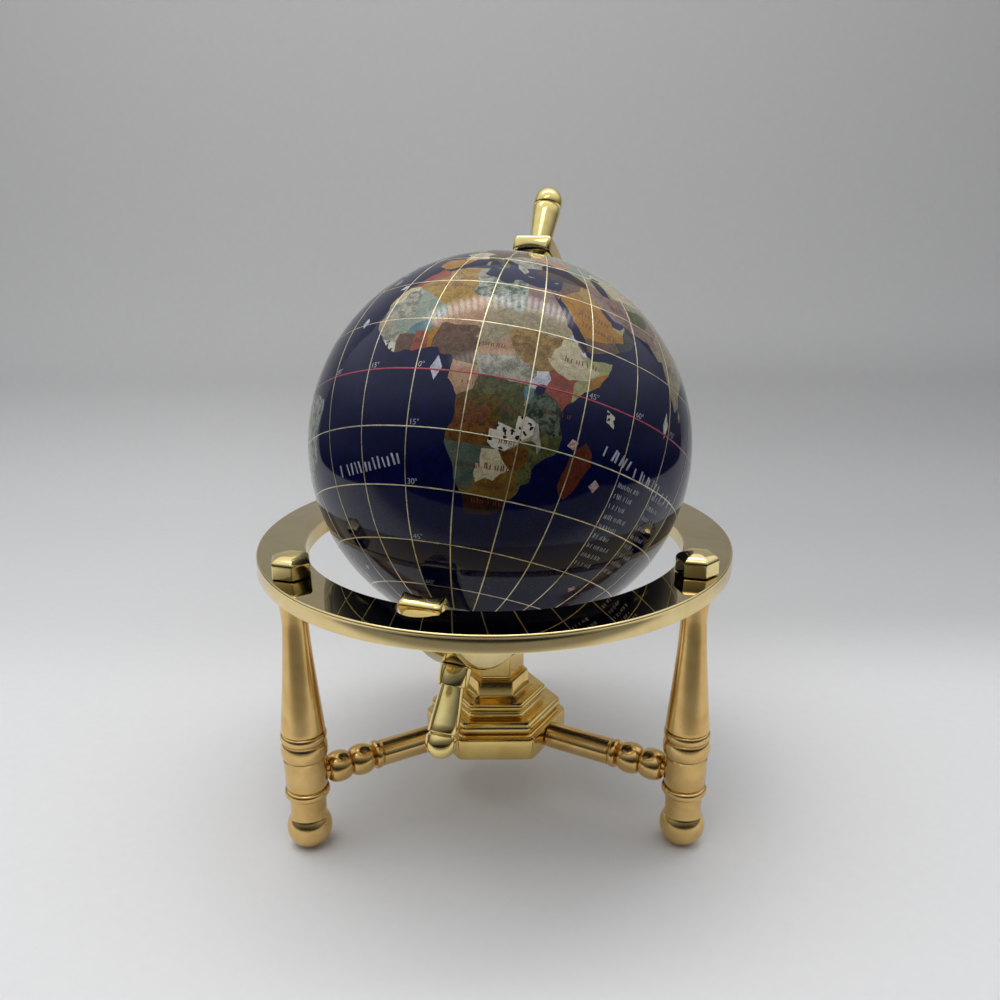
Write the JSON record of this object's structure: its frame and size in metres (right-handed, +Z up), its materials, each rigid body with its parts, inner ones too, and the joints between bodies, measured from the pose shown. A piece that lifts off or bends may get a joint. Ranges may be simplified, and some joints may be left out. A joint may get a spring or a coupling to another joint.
{
  "type": "gemstone globe on stand",
  "caption": "Tabletop world globe of inlaid stones that spins on a tilted axis, held by a curved arm in a brass stand with a flat horizon ring on turned legs.",
  "frame": {"origin": "floor level under the centre of the horizon ring", "axes": "+Z up, -Y the front with two legs and the globe's southern end, +X right seen from the front"},
  "size_m": [0.1394, 0.1394, 0.1841],
  "materials": {
    "brass": "polished",
    "stone": "polished"
  },
  "bodies": {
    "stand": {"meridian_arm": "brass", "finial_north": "brass", "finial_south": "brass", "horizon_ring": "brass", "hub": "brass", "leg_right": "brass", "leg_left": "brass", "leg_back": "brass", "acorn_nut_right": "brass", "acorn_nut_left": "brass", "acorn_nut_back": "brass", "stretcher_right": "brass", "stretcher_left": "brass", "stretcher_back": "brass"},
    "globe": {"globe_ball": "stone"}
  },
  "joints": [
    {"name": "globe_spin", "type": "hinge", "parent": "stand", "child": "globe", "pos_m": [0.0018, 0, 0.1125], "axis": [0.1916, 0.5098, 0.8387], "continuous": true}
  ]
}
